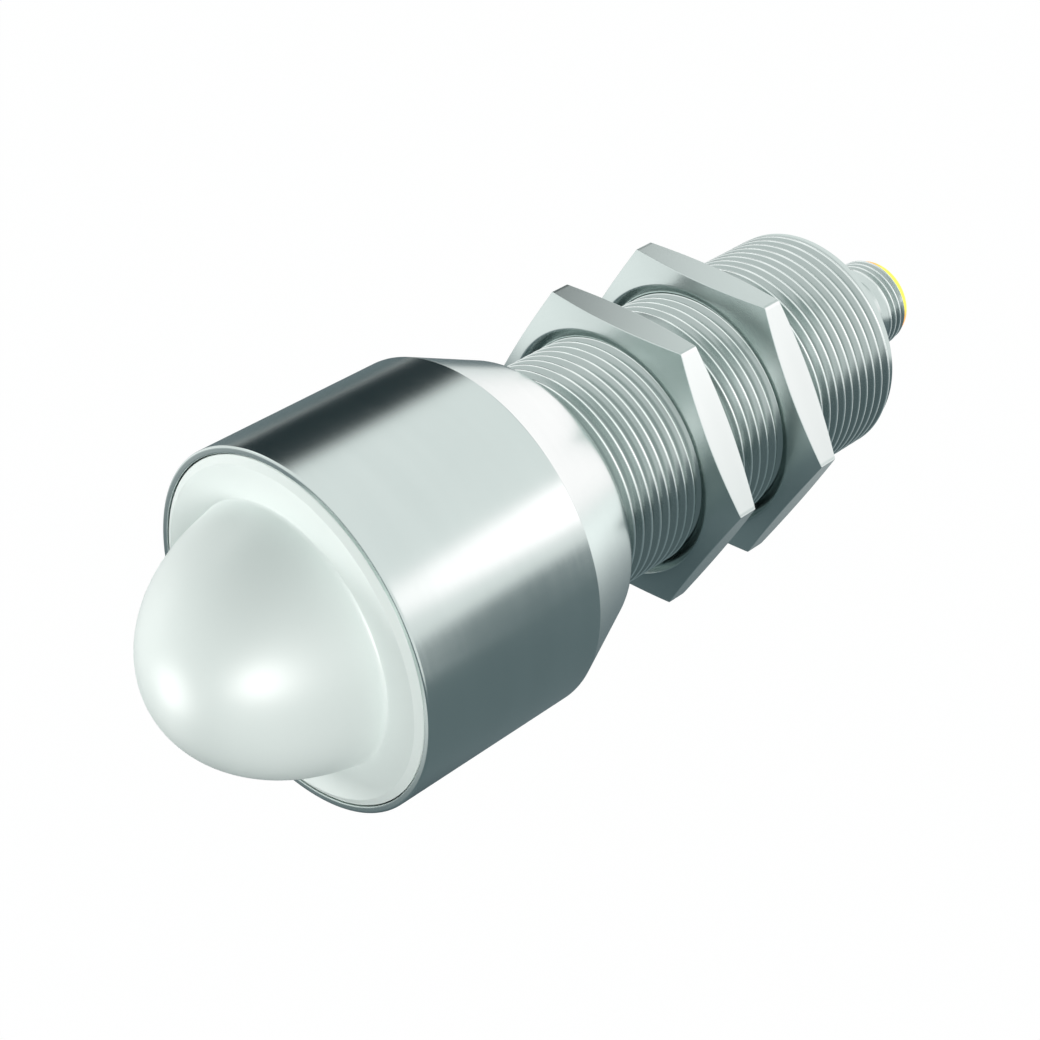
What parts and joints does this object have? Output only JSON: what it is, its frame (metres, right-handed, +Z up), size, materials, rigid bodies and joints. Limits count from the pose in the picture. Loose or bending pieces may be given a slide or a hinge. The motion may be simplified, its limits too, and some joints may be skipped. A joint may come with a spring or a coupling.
{
  "type": "radar sensor",
  "caption": "Round stainless radar sensor with a white dome lens, a tapered head, a long threaded barrel with hexagon lock nuts and a plug connector at its rear.",
  "frame": {"origin": "on the sensor's axis, at the shoulder where the mounting thread begins", "axes": "+Y along the sensor's axis toward the connector, the dome lens looks along -Y, +Z up, a corner of each nut points along +X"},
  "size_m": [0.0447, 0.1221, 0.0446],
  "materials": {
    "stainless_steel": "fine-turned stainless steel, satin",
    "nut_steel": "stainless steel, smooth machined",
    "lens_polymer": "white fluoropolymer, satin",
    "seal_rubber": "black rubber",
    "dark_moulding": "dark moulded plastic",
    "absorber_foam": "carbon-filled absorber sheet",
    "chip_package": "black moulded package",
    "board_laminate": "green laminate with solder mask",
    "tinned_sheet": "tinned sheet metal",
    "gilt_contact": "gold-plated contacts",
    "ferrite": "moulded ferrite block",
    "capacitor_can": "bare aluminium can",
    "lamp_resin": "clear lamp resin",
    "amber_resin": "clear amber resin, lit from inside",
    "solder": "bright solder"
  },
  "bodies": {
    "sensor_body": {"housing": "stainless_steel", "lens": "lens_polymer", "lens_seal": "seal_rubber", "board_carrier": "dark_moulding", "absorber_ring": "absorber_foam", "radar_chip": "chip_package", "antenna_board": "board_laminate", "shield_can": "tinned_sheet", "board_header": "dark_moulding", "header_pins": "gilt_contact", "main_board": "board_laminate", "processor_chip": "chip_package", "power_inductor": "ferrite", "capacitors": "capacitor_can", "status_lamps": "lamp_resin", "rear_guide": "dark_moulding", "connector_shell": "stainless_steel", "shell_seal": "seal_rubber", "contact_carrier": "amber_resin", "contact_pin_1": "gilt_contact", "contact_pin_2": "gilt_contact", "contact_pin_3": "gilt_contact", "contact_pin_4": "gilt_contact", "solder_joints": "solder"},
    "front_nut_body": {"front_nut": "nut_steel"},
    "rear_nut_body": {"rear_nut": "nut_steel"}
  },
  "joints": [
    {"name": "front_nut_travel", "type": "slide", "parent": "sensor_body", "child": "front_nut_body", "axis": [0, 1, 0], "range_m": [-0.0137, 0.0048]},
    {"name": "rear_nut_travel", "type": "slide", "parent": "sensor_body", "child": "rear_nut_body", "axis": [0, 1, 0], "range_m": [-0.005, 0.018]}
  ]
}
